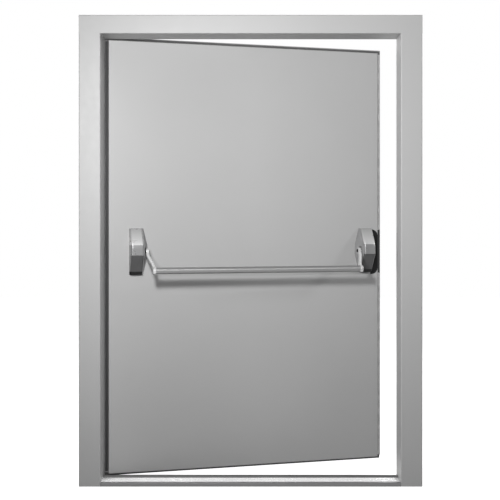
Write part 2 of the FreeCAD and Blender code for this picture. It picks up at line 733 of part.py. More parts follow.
def export():
    """Check every object and write each piece to its own file."""
    doc.recompute()
    for thing in doc.Objects:
        if "Invalid" in thing.State or "Error" in thing.State:
            raise RuntimeError(f"{thing.Name} did not compute: {thing.State}")
    os.makedirs("parts", exist_ok=True)
    for piece in nodes:
        if piece.Shape.isNull() or not piece.Shape.isValid() or not piece.Shape.Solids:
            raise RuntimeError(f"{piece.Label} has no sound solid")
        piece.Shape.exportStep(f"parts/{piece.Label}.step")


build_frame()
build_hinges()
build_leaf()
build_exit_device()
export()
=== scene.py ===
import json
import math

import bmesh
import bpy
import numpy as np
from bpy.props import FloatProperty, FloatVectorProperty, PointerProperty
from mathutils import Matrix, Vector


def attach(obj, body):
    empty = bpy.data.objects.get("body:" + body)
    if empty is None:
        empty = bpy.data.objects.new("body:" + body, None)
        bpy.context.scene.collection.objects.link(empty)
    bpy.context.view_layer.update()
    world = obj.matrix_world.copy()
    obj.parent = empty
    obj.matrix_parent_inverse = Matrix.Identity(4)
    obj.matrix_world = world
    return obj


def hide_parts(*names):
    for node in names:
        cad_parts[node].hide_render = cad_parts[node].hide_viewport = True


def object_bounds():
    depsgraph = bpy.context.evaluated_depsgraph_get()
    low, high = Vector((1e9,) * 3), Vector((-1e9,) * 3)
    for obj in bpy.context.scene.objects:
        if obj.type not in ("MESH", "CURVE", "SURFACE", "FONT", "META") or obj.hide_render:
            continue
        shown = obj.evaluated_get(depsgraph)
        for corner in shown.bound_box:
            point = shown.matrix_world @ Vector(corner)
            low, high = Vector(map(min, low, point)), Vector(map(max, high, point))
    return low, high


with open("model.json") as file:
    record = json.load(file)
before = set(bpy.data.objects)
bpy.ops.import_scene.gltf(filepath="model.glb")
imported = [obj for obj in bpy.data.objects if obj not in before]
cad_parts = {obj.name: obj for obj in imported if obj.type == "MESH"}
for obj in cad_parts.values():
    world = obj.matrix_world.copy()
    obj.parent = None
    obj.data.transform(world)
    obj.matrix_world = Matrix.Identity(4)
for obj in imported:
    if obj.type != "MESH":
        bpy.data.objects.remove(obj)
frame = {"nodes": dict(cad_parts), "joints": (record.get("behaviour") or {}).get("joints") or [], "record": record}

bl_info = {
    "name": "Steel utility door",
    "version": (1, 0, 0),
    "blender": (4, 5, 0),
    "location": "3D View > Sidebar > Door",
    "description": "Dresses a steel exit door: paint, metals, seals, hinges, exit device and a studio stage",
    "category": "Object",
}

CAD_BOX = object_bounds()
NODES = frame["nodes"]
JOINTS = {joint["name"]: joint for joint in frame["joints"]}

# Directions of the frame, and of the leaf as it stands open

HINGE_AXIS = np.array(JOINTS["door_swing"]["pos_m"])
ALONG = np.array(JOINTS["push_bar_press"]["axis"])
OUTWARD = np.array([ALONG[1], -ALONG[0], 0.0])
UPWARD = np.array([0.0, 0.0, 1.0])
EAST = np.array([1.0, 0.0, 0.0])
NORTH = np.array([0.0, 1.0, 0.0])
OPEN_ANGLE = math.atan2(ALONG[1], ALONG[0])

# Sizes of frame and leaf in metres, as packed

HALF_OPENING = 0.669
SOFFIT = 2.017
JAMB_FACE = 0.096
FRAME_FRONT, FRAME_BACK = -0.112, 0.034
THRESHOLD_TOP = 0.018
EDGE_FROM_AXIS = 0.046
FACE_FROM_AXIS = 0.047
LEAF_WIDTH = 1.322
LEAF_FOOT, LEAF_TOP = 0.026, 2.011
FLANGE_OUT = -0.039
LOCK_LOW, LOCK_HIGH = 0.930, 1.142

# Sizes of the exit device in metres: heights from the floor, depths from the leaf's push face

CASE_TOP, CASE_BROW, CASE_BELLY, CASE_TOE, CASE_FOOT = 1.150, 1.073, 1.025, 0.952, 0.935
LID_DEPTH, BROW_DEPTH, BELLY_DEPTH, TOE_DEPTH, FOOT_DEPTH = 0.016, 0.062, 0.064, 0.022, 0.015
PARTING = 0.0004
PIVOT_OUT, PIVOT_HEIGHT = 0.038, 1.041
BAR_OUT, BAR_HEIGHT = 0.112, 0.957

# Its places in metres: along the leaf from the hinge edge, and for hub and disc in from a case's inner face

INWARD = {"hinge_side": 1, "lock_side": -1}
CASE_OUTER = {"hinge_side": 0.093, "lock_side": 1.286}
INNER_FACE = {"hinge_side": 0.152, "lock_side": 1.227}
BAR_START, BAR_END = 0.197, 1.182
HUB_START, HUB_END, HUB_RADIUS, HUB_BORE = 0.012, 0.026, 0.016, 0.00605
DISC_START, DISC_END, DISC_RADIUS = 0.031, 0.045, 0.017

# Sizes of the hinges in metres

HINGE_FEET = {"low": 0.250, "middle": 1.010, "high": 1.770}
BARREL_RADIUS, BARREL_BORE, BARREL_LENGTH, BARREL_GAP = 0.011, 0.00605, 0.060, 0.001
LUG_HALF, LUG_INSET, LUG_ROUND, LUG_START = 0.006, 0.005, 0.002, 0.0065
FLANGE_FROM_AXIS = 0.014


class FinishSettings(bpy.types.PropertyGroup):
    """Colours and gloss of the door's finishes."""

    frame_colour: FloatVectorProperty(
        name="Frame paint", description="Paint of the frame", subtype="COLOR",
        size=4, min=0, max=1, default=(0.47, 0.47, 0.47, 1))
    leaf_colour: FloatVectorProperty(
        name="Leaf paint", description="Paint of the leaf", subtype="COLOR",
        size=4, min=0, max=1, default=(0.46, 0.46, 0.46, 1))
    hinge_colour: FloatVectorProperty(
        name="Hinge paint", description="Paint of the hinges", subtype="COLOR",
        size=4, min=0, max=1, default=(0.4, 0.4, 0.4, 1))
    lid_colour: FloatVectorProperty(
        name="Case lid", description="Silver lacquer above a case's brow", subtype="COLOR",
        size=4, min=0, max=1, default=(0.53, 0.53, 0.53, 1))
    belt_colour: FloatVectorProperty(
        name="Case belt", description="Grey lacquer below a case's brow", subtype="COLOR",
        size=4, min=0, max=1, default=(0.25, 0.25, 0.252, 1))
    dark_colour: FloatVectorProperty(
        name="Case toe", description="Dark lacquer of the case toes", subtype="COLOR",
        size=4, min=0, max=1, default=(0.1, 0.1, 0.101, 1))
    rubber_colour: FloatVectorProperty(
        name="Rubber", description="Seals, sweep and dark strips", subtype="COLOR",
        size=4, min=0, max=1, default=(0.03, 0.03, 0.031, 1))
    # The tread's near white is a painted highlight on the threshold's top.
    tread_colour: FloatVectorProperty(
        name="Tread", description="Bright tread strip of the threshold", subtype="COLOR",
        size=4, min=0, max=1, default=(0.95, 0.95, 0.95, 1))
    paint_roughness: FloatProperty(
        name="Paint roughness", description="Satin of the paint", subtype="FACTOR",
        min=0, max=1, default=0.46)


class FittingSettings(bpy.types.PropertyGroup):
    """Sizes of the fittings, in metres."""

    case_width: FloatProperty(
        name="Case width", description="Width of an exit-device case", unit="LENGTH", default=0.059)
    case_bevel: FloatProperty(
        name="Case bevel", description="Bevel down the sides of a case's front", unit="LENGTH",
        default=0.006)
    bar_radius: FloatProperty(
        name="Bar radius", description="Radius of the push bar", unit="LENGTH", default=0.015)
    screw_radius: FloatProperty(
        name="Screw radius", description="Radius of a screw's head", unit="LENGTH", default=0.004)
    bead_radius: FloatProperty(
        name="Weld bead", description="Radius of a weld bead", unit="LENGTH", default=0.0022)


class StageSettings(bpy.types.PropertyGroup):
    """Camera and lamps."""

    camera_distance: FloatProperty(
        name="Camera distance", description="Camera to the frame's push face", unit="LENGTH", default=4.5)
    camera_height: FloatProperty(
        name="Camera height", description="Camera above the floor", unit="LENGTH", default=1.151)
    camera_lens: FloatProperty(
        name="Lens", description="Focal length in millimetres", default=72.83)
    camera_shift: FloatVectorProperty(
        name="Shift", description="Lens shift of the photograph's framing", size=2,
        default=(-0.0012, -0.044))
    key_power: FloatProperty(
        name="Key lamp", description="Power of the near lamp in watts", default=37.4)
    far_power: FloatProperty(
        name="Far lamp", description="Power of the far lamp in watts", default=740)
    side_power: FloatProperty(
        name="Side lamp", description="Power of the lamp at the right in watts", default=46)
    back_power: FloatProperty(
        name="Back lamp", description="Power of the lamp behind the door in watts", default=60)
    front_sky: FloatProperty(
        name="Front sky", description="Even light on the push side", default=0.005)
    back_sky: FloatProperty(
        name="Back sky", description="Even light on the pull side", default=0.36)


# Meshes

MERGE_DISTANCE, SLIVER_LENGTH, SHARP_ANGLE = 2e-6, 1e-7, 0.6
BLEND_SHARE, NO_LENGTH = 0.49, 1e-9
QUARTER_STEPS, HALF_STEPS = 9, 17


def grid_faces(rows, columns):
    """Quads between the rings of a grid of points, row by row; the last column joins the first."""
    row = np.arange(rows - 1)[:, None] * columns
    column = np.arange(columns)[None, :]
    after = (column + 1) % columns
    quads = [row + column, row + after, row + columns + after, row + columns + column]
    return np.stack(np.broadcast_arrays(*quads), axis=-1).reshape(-1, 4)


def surface(grid, caps=True):
    """Points, quads and caps of a grid (rows, columns, 3) of closed rows; caps close the two end rows."""
    rows, columns = grid.shape[:2]
    ring = np.arange(columns)
    ends = [ring[::-1], ring + (rows - 1) * columns] if caps else []
    return grid.reshape(-1, 3), grid_faces(rows, columns), ends


def new_piece(name, parts, body, slot, replaced=(), finish=None):
    """Makes an object from surfaces, merges their seams, turns the faces outwards and ties it to its body.

    The finish is the slot's own, unless another is named."""
    points, faces, start = [], [], 0
    for part_points, quads, caps in parts:
        points.append(part_points)
        faces += (quads + start).tolist() + [(cap + start).tolist() for cap in caps]
        start += len(part_points)
    mesh = bpy.data.meshes.new(name)
    mesh.from_pydata(np.concatenate(points).tolist(), [], faces)
    work = bmesh.new()
    work.from_mesh(mesh)
    bmesh.ops.remove_doubles(work, verts=work.verts, dist=MERGE_DISTANCE)
    bmesh.ops.dissolve_degenerate(work, edges=work.edges, dist=SLIVER_LENGTH)
    bmesh.ops.recalc_face_normals(work, faces=work.faces)
    work.to_mesh(mesh)
    work.free()
    mesh.validate()
    mesh.polygons.foreach_set("use_smooth", np.ones(len(mesh.polygons), dtype=bool))
    mesh.set_sharp_from_angle(angle=SHARP_ANGLE)
    mesh.materials.append(finishes()[finish or slot])
    piece = bpy.data.objects.new(name, mesh)
    bpy.context.scene.collection.objects.link(piece)
    flats = piece.modifiers.new("flats", "WEIGHTED_NORMAL")
    flats.keep_sharp = True
    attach(piece, body)
    if replaced:
        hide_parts(*replaced)


def leaf_points(along, out, height):
    """World points of places on the leaf.

    A place is its distance along from the hinge edge, out from the push face, and height."""
    along, out, height = np.broadcast_arrays(along, out, height)
    base = np.array([HINGE_AXIS[0], HINGE_AXIS[1], 0.0])
    side = ALONG * (along + EDGE_FROM_AXIS)[..., None]
    return base + side + OUTWARD * (out + FACE_FROM_AXIS)[..., None] + UPWARD * height[..., None]


def rounded_line(corners, radii, steps):
    """Polylines (..., corner, axis) with each inner corner replaced by a quadratic blend.

    The blend runs from the point one radius before the corner to the point one radius after it, and takes up
    less than half of the side there."""
    corners = np.asarray(corners, dtype=float)
    blend = np.linspace(0, 1, steps)[:, None]
    points = [corners[..., :1, :]]
    for number, radius in enumerate(radii, 1):
        corner = corners[..., number, None, :]
        reach = np.asarray(radius)[..., None, None] if np.ndim(radius) else radius
        ends = []
        for other in (corners[..., number - 1, None, :], corners[..., number + 1, None, :]):
            length = np.linalg.norm(other - corner, axis=-1, keepdims=True)
            share = np.minimum(reach / np.maximum(length, NO_LENGTH), BLEND_SHARE)
            ends.append(corner + (other - corner) * share)
        middle = 2 * blend * (1 - blend) * corner
        points.append((1 - blend) ** 2 * ends[0] + middle + blend ** 2 * ends[1])
    points.append(corners[..., -1:, :])
    return np.concatenate(points, axis=-2)


def revolved(profile, centre, axis, across, segments=48):
    """A profile of (radius, distance) turned about an axis.

    Its points are centre + axis * distance + radius * (across * cos t + other * sin t), with other square to
    both axis and across."""
    profile = np.asarray(profile, dtype=float)
    axis, across = np.asarray(axis, dtype=float), np.asarray(across, dtype=float)
    other = np.cross(axis, across)
    turn = np.linspace(0, 2 * np.pi, segments, endpoint=False)
    ring = np.cos(turn)[:, None] * across + np.sin(turn)[:, None] * other
    grid = np.asarray(centre) + axis * profile[:, 1, None, None] + ring[None] * profile[:, 0, None, None]
    return surface(grid, caps=False)


def swept(profile, start, end, across, up):
    """A closed profile of (across, up) pairs carried straight from start to end, with both ends closed."""
    profile = np.asarray(profile, dtype=float)
    section = profile[:, 0, None] * np.asarray(across) + profile[:, 1, None] * np.asarray(up)
    return surface(np.stack([np.asarray(start) + section, np.asarray(end) + section]))


def quarter_inset(distance, radius):
    """How far a rounded corner draws in at a distance from its edge: the radius less the circle's chord."""
    depth = np.clip(radius - distance, 0, radius)
    return radius - np.sqrt(radius ** 2 - depth ** 2)


def rounded_rows(low, high, radius, count):
    """Heights from low to high that crowd towards both ends as a quarter circle's do."""
    rise = radius * (1 - np.cos(np.linspace(0, np.pi / 2, count)))
    return np.concatenate([low + rise, high - rise[::-1]])


def smooth_step(value):
    """A ramp from 0 to 1 with level ends: 3 t^2 - 2 t^3."""
    value = np.clip(value, 0, 1)
    return value * value * (3 - 2 * value)


# Materials

MATERIALS = {}


def shader(name):
    """Makes a material, lists it under its name, and gives its node tree and its Principled shader."""
    material = bpy.data.materials.new(name)
    material.use_nodes = True
    MATERIALS[name] = material
    tree = material.node_tree
    return tree, tree.nodes["Principled BSDF"]


def grey(value):
    """A neutral colour."""
    return (value, value, value)


def add(tree, kind, values=(), **settings):
    """A node of the kind with its input values, by name or number, and its settings."""
    node = tree.nodes.new("ShaderNode" + kind)
    for key, value in settings.items():
        setattr(node, key, value)
    for key, value in dict(values).items():
        node.inputs[key].default_value = value
    return node


def place(tree, scale=(1, 1, 1), turn=0.0):
    """Object coordinates turned about Z and scaled."""
    coordinates = add(tree, "TexCoord")
    mapping = add(tree, "Mapping", {"Scale": scale, "Rotation": (0, 0, turn)})
    tree.links.new(coordinates.outputs["Object"], mapping.inputs["Vector"])
    return mapping.outputs["Vector"]


def noise(tree, vector, scale, detail=2.0, roughness=0.5):
    """A noise value on the vector."""
    node = add(tree, "TexNoise", {"Scale": scale, "Detail": detail, "Roughness": roughness})
    tree.links.new(vector, node.inputs["Vector"])
    return node.outputs["Fac"]


def ranged(tree, value, low, high, from_low=0.3, from_high=0.7):
    """A value mapped from from_low..from_high, where most of a noise lies, to low..high."""
    node = add(tree, "MapRange", {1: from_low, 2: from_high, 3: low, 4: high})
    tree.links.new(value, node.inputs[0])
    return node.outputs[0]


def tinted(tree, value, colour, low, high):
    """The colour multiplied by low..high as a noise goes from its low to its high."""
    mix = add(tree, "Mix", data_type="RGBA")
    mix.inputs["A"].default_value = [channel * low for channel in colour[:3]] + [1]
    mix.inputs["B"].default_value = [min(channel * high, 1) for channel in colour[:3]] + [1]
    tree.links.new(ranged(tree, value, 0, 1), mix.inputs["Factor"])
    return mix.outputs["Result"]


def blended(tree, factor, first, second):
    """Two colours mixed by the factor; each is a node's output or a plain colour."""
    mix = add(tree, "Mix", data_type="RGBA")
    tree.links.new(factor, mix.inputs["Factor"])
    for key, colour in (("A", first), ("B", second)):
        if isinstance(colour, bpy.types.NodeSocket):
            tree.links.new(colour, mix.inputs[key])
        else:
            mix.inputs[key].default_value = tuple(colour)
    return mix.outputs["Result"]


def bumped(tree, value, distance, strength=1.0, normal=None):
    """A bump normal of the value, on top of another where one is given."""
    node = add(tree, "Bump", {"Distance": distance, "Strength": strength})
    tree.links.new(value, node.inputs["Height"])
    if normal is not None:
        tree.links.new(normal, node.inputs["Normal"])
    return node.outputs["Normal"]


def dress(tree, bsdf, colour, roughness, normal=None, **plain):
    """Joins colour, roughness and normal to the shader, and sets its plain values."""
    tree.links.new(colour, bsdf.inputs["Base Color"])
    tree.links.new(roughness, bsdf.inputs["Roughness"])
    if normal is not None:
        tree.links.new(normal, bsdf.inputs["Normal"])
    sockets = {"metallic": "Metallic", "gloss": "Specular IOR Level", "grain": "Anisotropic"}
    for key, value in plain.items():
        bsdf.inputs[sockets[key]].default_value = value


def paint(name, colour, roughness):
    """Satin powder coat: a faint cloud in the colour, fine orange peel and an uneven satin."""
    tree, bsdf = shader(name)
    spot = place(tree)
    cloud = noise(tree, spot, scale=2.2, detail=4)
    satin = noise(tree, spot, scale=38, detail=3)
    peel = bumped(tree, noise(tree, spot, scale=620), distance=0.00006, strength=0.35)
    dress(tree, bsdf, tinted(tree, cloud, colour, low=0.985, high=1.015),
          ranged(tree, satin, low=roughness - 0.05, high=roughness + 0.05),
          bumped(tree, cloud, distance=0.0012, strength=0.12, normal=peel), gloss=0.32)


def brushed(name, colour, roughness, stretch, metallic=1.0):
    """Metal with a fine grain drawn out along one direction."""
    tree, bsdf = shader(name)
    grain = noise(tree, place(tree, stretch), scale=1.0, detail=3, roughness=0.6)
    smudge = noise(tree, place(tree), scale=14, detail=3)
    dress(tree, bsdf, tinted(tree, grain, colour, low=0.93, high=1.05),
          ranged(tree, smudge, low=roughness - 0.04, high=roughness + 0.06),
          bumped(tree, grain, distance=0.00001), metallic=metallic, gloss=0.5)


def turned_bar(name, colour, roughness, metallic, gloss):
    """Tube polished round and round: the grain lies across the tube, so gloss spreads along its length.

    The tangent is the tube's own direction, carried into the world with the piece."""
    tree, bsdf = shader(name)
    grain = noise(tree, place(tree, (1600, 3, 3), -OPEN_ANGLE), scale=1.0, detail=3, roughness=0.6)
    smudge = noise(tree, place(tree), scale=14, detail=3)
    dress(tree, bsdf, tinted(tree, grain, colour, low=0.96, high=1.04),
          ranged(tree, smudge, low=roughness - 0.03, high=roughness + 0.03),
          metallic=metallic, gloss=gloss, grain=1.0)
    length = add(tree, "CombineXYZ", {0: ALONG[0], 1: ALONG[1], 2: ALONG[2]})
    turn = add(tree, "VectorTransform", vector_type="VECTOR", convert_from="OBJECT", convert_to="WORLD")
    tree.links.new(length.outputs[0], turn.inputs[0])
    tree.links.new(turn.outputs[0], bsdf.inputs["Tangent"])


def moulded(name, colour, roughness, grain_scale, depth, gloss=0.5):
    """Moulded plastic or rubber: a fine pebbled grain and slightly uneven gloss."""
    tree, bsdf = shader(name)
    spot = place(tree)
    pebble = noise(tree, spot, grain_scale, detail=1)
    haze = noise(tree, spot, scale=22, detail=3)
    dress(tree, bsdf, tinted(tree, haze, colour, low=0.85, high=1.2),
          ranged(tree, haze, low=roughness - 0.06, high=roughness + 0.08),
          bumped(tree, pebble, depth, strength=0.5), gloss=gloss)


def lacquered(name, lid, belt, roughness):
    """Flaked case lacquer: a lid above the brow, painted highlight at the brow fading to painted shade at its top,
    and a darker belt below.
    """
    edge = 0.0004
    tree, bsdf = shader(name)
    spot = place(tree)
    parts = add(tree, "SeparateXYZ")
    tree.links.new(spot, parts.inputs[0])
    height = parts.outputs["Z"]
    flake = noise(tree, spot, scale=1100, detail=1)
    # Painted light on the lid: a painted highlight near the brow and painted shade towards the top, blended by
    # height.
    lid_highlight = tinted(tree, flake, lid, low=1.04, high=1.12)
    deep = tinted(tree, flake, lid, low=0.56, high=0.64)
    upper = blended(tree, ranged(tree, height, 0, 1, CASE_BROW, CASE_TOP), lid_highlight, deep)
    lower = tinted(tree, flake, belt, low=0.96, high=1.04)
    above = ranged(tree, height, 0, 1, CASE_BROW - edge, CASE_BROW + edge)
    satin = noise(tree, spot, scale=30, detail=3)
    dress(tree, bsdf, blended(tree, above, lower, upper),
          ranged(tree, satin, low=roughness - 0.04, high=roughness + 0.05),
          bumped(tree, flake, distance=0.00002, strength=0.3), metallic=0.3)


def toe_lacquer(name, front, flank, roughness):
    """Toe of a case: dark front and inner side, grey outer flank, and a foot painted near black as painted shadow
    under the case.

    The flanks are told apart by the distance along the leaf, the foot by its height."""
    skin, fade, sole, instep, foot_shadow_black = 0.0012, 0.0018, 0.003, 0.0005, (*grey(0.008), 1)
    tree, bsdf = shader(name)
    spot = place(tree, turn=-OPEN_ANGLE)
    parts = add(tree, "SeparateXYZ")
    tree.links.new(spot, parts.inputs[0])
    near, far = [float(ALONG @ leaf_points(outer, 0.0, 0.0)) for outer in CASE_OUTER.values()]
    sides = [ranged(tree, parts.outputs["X"], 1, 0, near + skin, near + fade),
             ranged(tree, parts.outputs["X"], 0, 1, far - fade, far - skin)]
    flanks = add(tree, "Math", operation="MAXIMUM")
    for number, side in enumerate(sides):
        tree.links.new(side, flanks.inputs[number])
    haze = noise(tree, spot, scale=24, detail=3)
    # Painted shadow: the foot's bottom rows are painted near black, standing in for the shade under the case.
    foot = ranged(tree, parts.outputs["Z"], 1, 0, CASE_TOE - sole, CASE_TOE + instep)
    colour = blended(tree, flanks.outputs[0], tinted(tree, haze, front, low=0.92, high=1.08), flank)
    pebble = noise(tree, spot, scale=1400, detail=1)
    dress(tree, bsdf, blended(tree, foot, colour, foot_shadow_black),
          ranged(tree, haze, low=roughness - 0.05, high=roughness + 0.06),
          bumped(tree, pebble, distance=0.00006, strength=0.4), gloss=0.18)


def finishes():
    """Every finish of the door by its name, made once."""
    if MATERIALS:
        return MATERIALS
    settings = bpy.context.scene.door_finish
    satin = settings.paint_roughness
    lid, belt, toe = settings.lid_colour, settings.belt_colour, settings.dark_colour
    drawn = (3, 500, 500)
    paint("frame_paint", settings.frame_colour, satin)
    paint("leaf_paint", settings.leaf_colour, satin)
    paint("hinge_paint", settings.hinge_colour, satin)
    # Painted light on the threshold: the dark grey is painted shade on its front face, and the tread's near white
    # a painted highlight on its top.
    brushed("threshold_metal", (0.19, 0.19, 0.192), roughness=0.4, stretch=drawn, metallic=0.3)
    brushed("tread", settings.tread_colour, roughness=0.22, stretch=drawn, metallic=0.85)
    brushed("galvanized", (0.5, 0.51, 0.52), roughness=0.45, stretch=(40, 40, 40))
    brushed("stainless", grey(0.6), roughness=0.3, stretch=(400, 400, 6))
    brushed("pin_steel", grey(0.5), roughness=0.28, stretch=(300, 300, 20))
    turned_bar("bar_metal", grey(0.25), roughness=0.36, metallic=0.45, gloss=0.6)
    brushed("lever_chrome", grey(0.62), roughness=0.24, stretch=(60, 60, 60), metallic=0.45)
    lacquered("case_silver", lid, belt, roughness=0.3)
    moulded("cheek_grey", belt, roughness=0.45, grain_scale=1400, depth=0.00006)
    # Near black, painted shade: it darkens the pivot pins in their recess and the lock-side plate where the case
    # shades the leaf.
    moulded("painted_shade_black", grey(0.012), roughness=0.5, grain_scale=1400, depth=0.00003, gloss=0.12)
    toe_lacquer("case_dark", toe, belt, roughness=0.42)
    # Painted light: near white, so the shaded lock-side flange reads as lit.
    moulded("painted_light_strip", grey(0.85), roughness=0.6, grain_scale=700, depth=0.00008)
    moulded("stop_grey", grey(0.12), roughness=0.55, grain_scale=900, depth=0.0001)
    moulded("seal_rubber", settings.rubber_colour, roughness=0.62, grain_scale=900, depth=0.0001)
    return MATERIALS


# The pivot pins get the near-black finish as painted shade of their recess.
OWN_FINISH = {"lever_cheek": "cheek_grey", "pivot_pin": "painted_shade_black"}


class DOOR_OT_coats(bpy.types.Operator):
    """Paint, metal and rubber on every solid that shows as it is"""

    bl_idname = "door.coats"
    bl_label = "Finishes"

    def execute(self, context):
        made = finishes()
        for entry in frame["record"]["subparts"]:
            kind = entry["node"].split("_side_")[-1]
            data = NODES[entry["node"]].data
            data.materials.clear()
            data.materials.append(made[OWN_FINISH.get(kind, entry["material_slot"])])
        return {"FINISHED"}


# Exit device


def case_shell(side_view, side, sizes, low_round, high_round):
    """A case's wall: the first parameter runs down the side view, the second round a level section of it.

    A row of depth d has the section (0, 0), (0, d - c), (c, d), (w - c, d), (w, d - c), (w, 0) with the
    bevel c and the width w; its four front corners are blended. Near the top and bottom rows the outer
    flank draws in as a quarter circle."""
    front_round, bevel_share, round_share = 0.003, 0.6, 0.25
    depth, height = side_view[:, 0], side_view[:, 1]
    bevel = np.minimum(sizes.case_bevel, bevel_share * depth)
    foot_inset = quarter_inset(height - height.min(), low_round)
    inset = foot_inset + quarter_inset(height.max() - height, high_round)
    width = np.full_like(depth, sizes.case_width)
    flat = np.zeros_like(depth)
    across = np.stack([inset, inset, inset + bevel, width - bevel, width, width], axis=-1)
    out = np.stack([flat, depth - bevel, depth, depth, depth - bevel, flat], axis=-1)
    radii = [np.minimum(front_round, round_share * depth)] * 4
    section = rounded_line(np.stack([across, out], axis=-1), radii, steps=5)
    along = CASE_OUTER[side] + INWARD[side] * section[..., 0]
    return surface(leaf_points(along, section[..., 1], height[:, None]))


def shadow_plate():
    """A flat black plate between the lock-side case and the leaf's edge: painted shadow of the case on the leaf.

    Its rows run up the plate, and its lock side draws in as a quarter circle at both ends."""
    low, high, thick, radius = 0.925, 1.144, 0.0014, 0.032
    under_case, from_edge = 0.004, 0.0015
    height = rounded_rows(low, high, radius, count=13)
    far = LEAF_WIDTH - from_edge - quarter_inset(height - low, radius) - quarter_inset(high - height, radius)
    near = np.full_like(far, CASE_OUTER["lock_side"] - under_case)
    across = np.stack([near, far, far, near], axis=-1)
    out = np.array([0, 0, thick, thick])
    return surface(leaf_points(across, out, height[:, None]))


class DOOR_OT_cases(bpy.types.Operator):
    """Exit-device cases: a silver cover over a dark toe at both ends of the bar, and a black plate of painted
    shadow beside the lock-side case
    """

    bl_idname = "door.cases"
    bl_label = "Exit-device cases"

    def execute(self, context):
        sizes = context.scene.door_fittings
        upper, lower = CASE_BELLY + PARTING, CASE_BELLY - PARTING
        seam, crown, brow, shin, heel, rim = 0.0012, 0.004, 0.020, 0.006, 0.007, 0.0008
        cover = rounded_line(
            [(0, CASE_TOP), (LID_DEPTH, CASE_TOP), (BROW_DEPTH, CASE_BROW),
             (BELLY_DEPTH, upper), (0, upper)], (crown, brow, seam), steps=14)[1:-1]
        toe = rounded_line(
            [(0, lower), (BELLY_DEPTH, lower), (TOE_DEPTH, CASE_TOE),
             (FOOT_DEPTH, CASE_FOOT), (0, CASE_FOOT)], (seam, shin, heel), steps=8)[1:-1]
        for side in CASE_OUTER:
            shell = case_shell(cover, side, sizes, low_round=rim, high_round=crown)
            new_piece(f"{side}_cover_shell", [shell], "leaf", "case_silver", [f"{side}_case_cover"])
            shell = case_shell(toe, side, sizes, low_round=heel, high_round=rim)
            new_piece(f"{side}_toe_shell", [shell], "leaf", "case_dark", [f"{side}_case_toe"])
        # The black plate is painted shadow: it stands where the lock-side case shades the leaf.
        new_piece("lock_edge_shadow_plate", [shadow_plate()], "leaf", "case_dark", finish="painted_shade_black")
        return {"FINISHED"}


def lever_arm(side):
    """The joggled arm of a lever, from its ring to its disc.

    It goes straight from pivot to bar in the side view while a smooth step carries it sideways from the
    ring's middle to the disc's. Its section is the superellipse |x / a|^3 + |y / b|^3 = 1, a across and b in
    the side view."""
    start, end, joggle_start, joggle_length = 0.09, 0.96, 0.12, 0.76
    half_width, half_depth, taper = 0.0086, 0.0100, 0.001
    rows, sides = 41, 40
    fraction = np.linspace(start, end, rows)[:, None]
    turn = np.linspace(0, 2 * np.pi, sides, endpoint=False)[None]
    cos, sin = np.cos(turn), np.sin(turn)
    bulge = (np.abs(cos) ** 3 + np.abs(sin) ** 3) ** (-1 / 3)
    run, drop = BAR_OUT - PIVOT_OUT, BAR_HEIGHT - PIVOT_HEIGHT
    length = math.hypot(run, drop)
    depth = (half_depth - taper * fraction) * sin * bulge
    hub_middle, disc_middle = (HUB_START + HUB_END) / 2, (DISC_START + DISC_END) / 2
    step = smooth_step((fraction - joggle_start) / joggle_length)
    across = hub_middle + (disc_middle - hub_middle) * step + half_width * cos * bulge
    out = PIVOT_OUT + run * fraction - depth * drop / length
    height = PIVOT_HEIGHT + drop * fraction + depth * run / length
    along = INNER_FACE[side] + INWARD[side] * across
    return surface(leaf_points(along, out, height))


def lever(side):
    """A lever: a ring on the pivot, a rounded disc on the bar's end and a joggled arm between them."""
    rim, dish, dish_radius, sides = 0.003, 0.0008, 0.011, 64
    dish_round, near_round, far_round = 0.004, 0.0035, 0.0015
    axis = ALONG * INWARD[side]
    inner = np.array(INNER_FACE[side])
    ring = rounded_line(
        [(HUB_BORE, HUB_START), (HUB_RADIUS, HUB_START), (HUB_RADIUS, HUB_END), (HUB_BORE, HUB_END)],
        (rim, rim), steps=7)
    ring = np.concatenate([ring, ring[:1]])
    pivot = leaf_points(inner, np.array(PIVOT_OUT), np.array(PIVOT_HEIGHT))
    disc = rounded_line(
        [(0, DISC_START - dish), (dish_radius, DISC_START), (DISC_RADIUS, DISC_START),
         (DISC_RADIUS, DISC_END), (0, DISC_END)], (dish_round, near_round, far_round), steps=7)
    bar_end = leaf_points(inner, np.array(BAR_OUT), np.array(BAR_HEIGHT))
    hub, end = revolved(ring, pivot, axis, UPWARD, sides), revolved(disc, bar_end, axis, UPWARD, sides)
    return [lever_arm(side), hub, end]


class DOOR_OT_push_bar(bpy.types.Operator):
    """Push bar: the tube and the two levers that carry it"""

    bl_idname = "door.push_bar"
    bl_label = "Push bar"

    def execute(self, context):
        radius = context.scene.door_fittings.bar_radius
        length = BAR_END - BAR_START
        wall, rim = 0.002, 0.0008
        tube = [(radius - wall, 0.0), (radius - rim, 0.0), (radius, rim), (radius, length - rim),
                (radius - rim, length), (radius - wall, length), (radius - wall, 0.0)]
        centre = leaf_points(np.array(BAR_START), np.array(BAR_OUT), np.array(BAR_HEIGHT))
        bar = revolved(tube, centre, ALONG, UPWARD, segments=96)
        new_piece("push_bar", [bar], "push_bar", "bar_metal", ["push_bar_tube"])
        for side in INWARD:
            new_piece(f"{side}_lever", lever(side), "push_bar", "lever_chrome", [f"{side}_lever_arm"])
        return {"FINISHED"}


# Hinges


